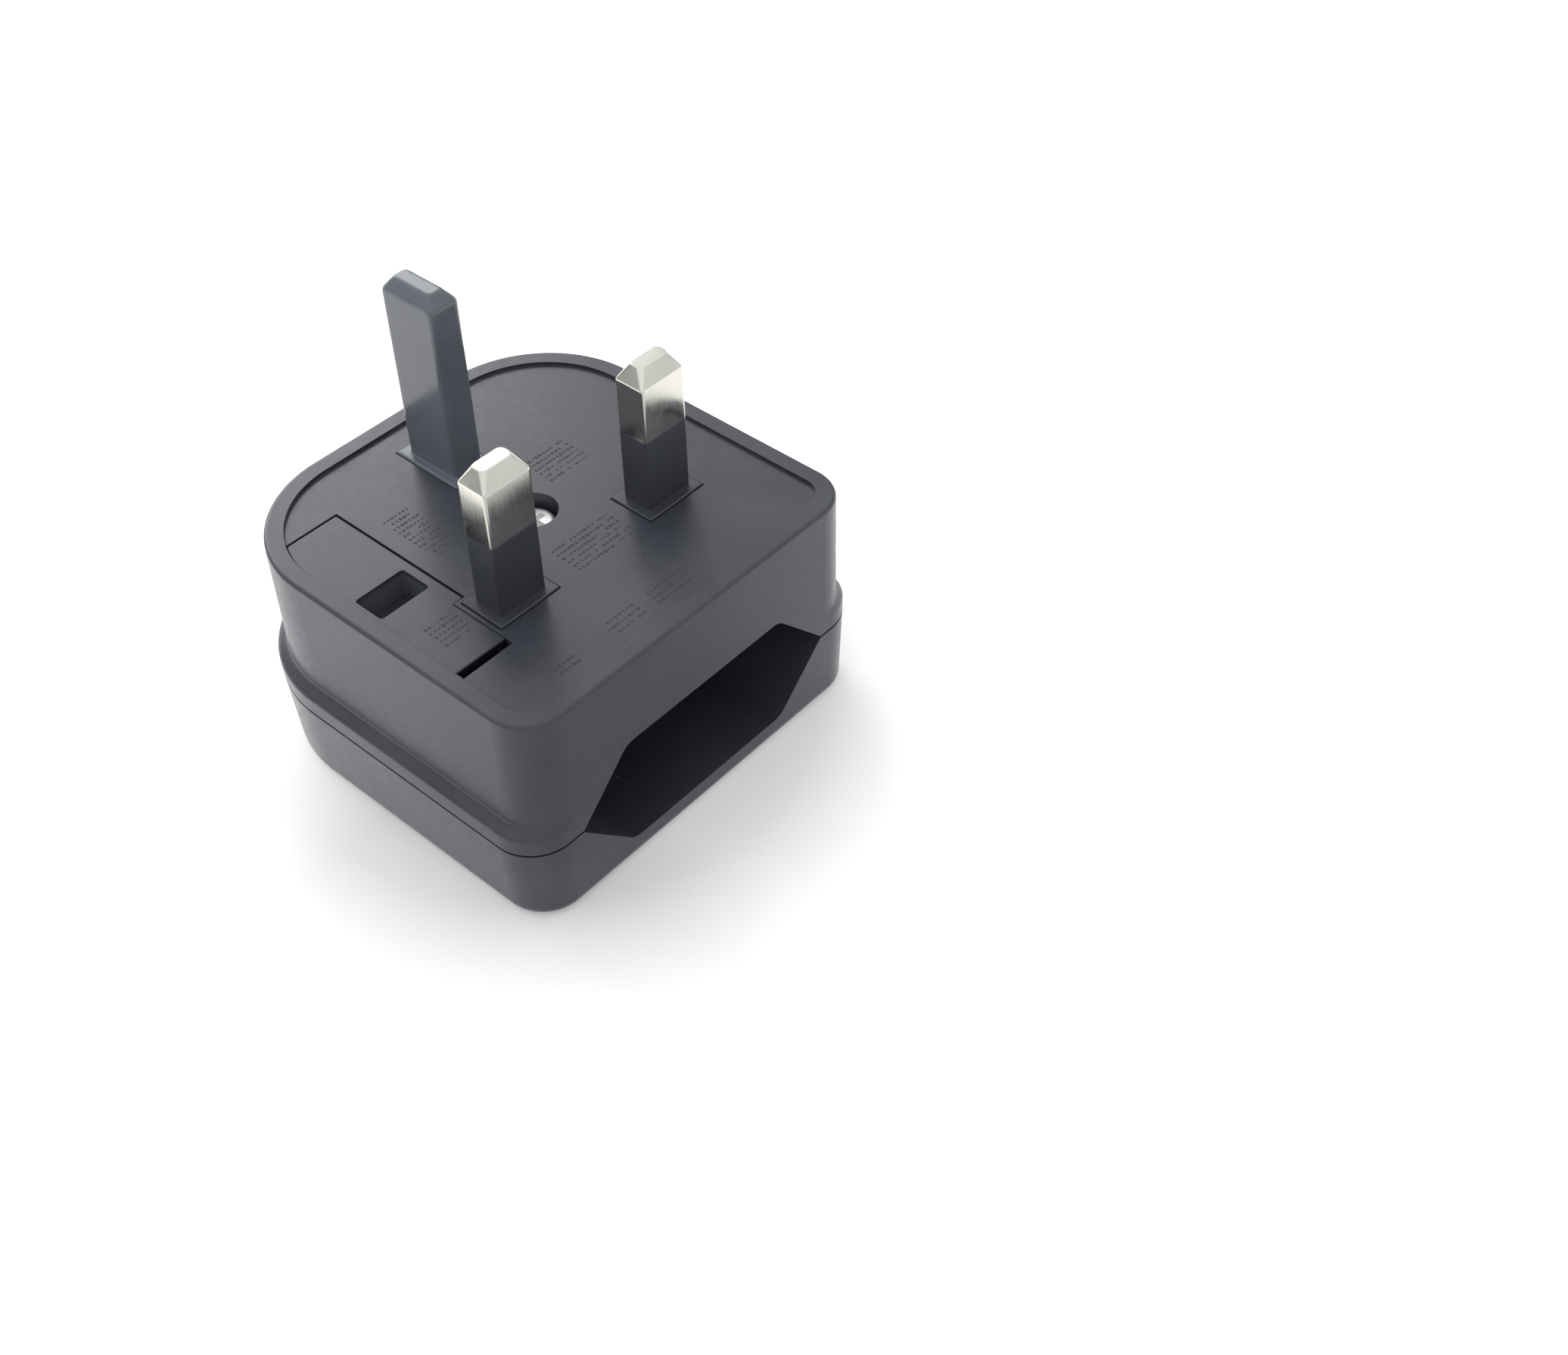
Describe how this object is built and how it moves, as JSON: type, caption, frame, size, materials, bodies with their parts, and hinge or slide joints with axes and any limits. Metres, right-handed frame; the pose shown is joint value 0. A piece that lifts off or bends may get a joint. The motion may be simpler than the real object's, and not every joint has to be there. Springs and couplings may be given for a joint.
{
  "type": "travel adapter",
  "caption": "Black travel adapter with flat pins, a raised rim and a waisted case, a six-sided recess for a round-pin plug and a lift-out fuse carrier beside the line pin.",
  "frame": {"origin": "middle of the case outline on its underside", "axes": "+Z out of the pin face, +X from the line pin to the neutral pin, -Y out of the socket recess"},
  "size_m": [0.0532, 0.0512, 0.0517],
  "materials": {
    "case_plastic": "satin black moulding",
    "earth_pin_plastic": "satin black moulding",
    "sleeve_plastic": "dull black insulation",
    "pin_plating": "bright nickel plating",
    "screw_plating": "bright zinc plating",
    "contact_brass": "rolled strip",
    "fuse_ceramic": "glazed ceramic tube",
    "fuse_plating": "plated end cap"
  },
  "bodies": {
    "housing": {"upper_shell": "case_plastic", "lower_shell": "case_plastic", "contact_block": "case_plastic", "earth_pin": "earth_pin_plastic", "line_pin_sleeve": "sleeve_plastic", "neutral_pin_sleeve": "sleeve_plastic", "line_pin": "pin_plating", "neutral_pin": "pin_plating", "case_screw": "screw_plating", "fuse_front_clip": "contact_brass", "fuse_rear_clip": "contact_brass", "line_contact": "contact_brass", "neutral_contact": "contact_brass", "neutral_strip": "contact_brass", "line_rivet": "contact_brass", "neutral_rivet": "contact_brass"},
    "fuse_drawer": {"fuse_carrier": "case_plastic", "fuse_tube": "fuse_ceramic", "fuse_cap_front": "fuse_plating", "fuse_cap_rear": "fuse_plating"}
  },
  "joints": [
    {"name": "fuse_carrier_lift", "type": "slide", "parent": "housing", "child": "fuse_drawer", "axis": [0, 0, 1], "range_m": [0, 0.013]}
  ]
}
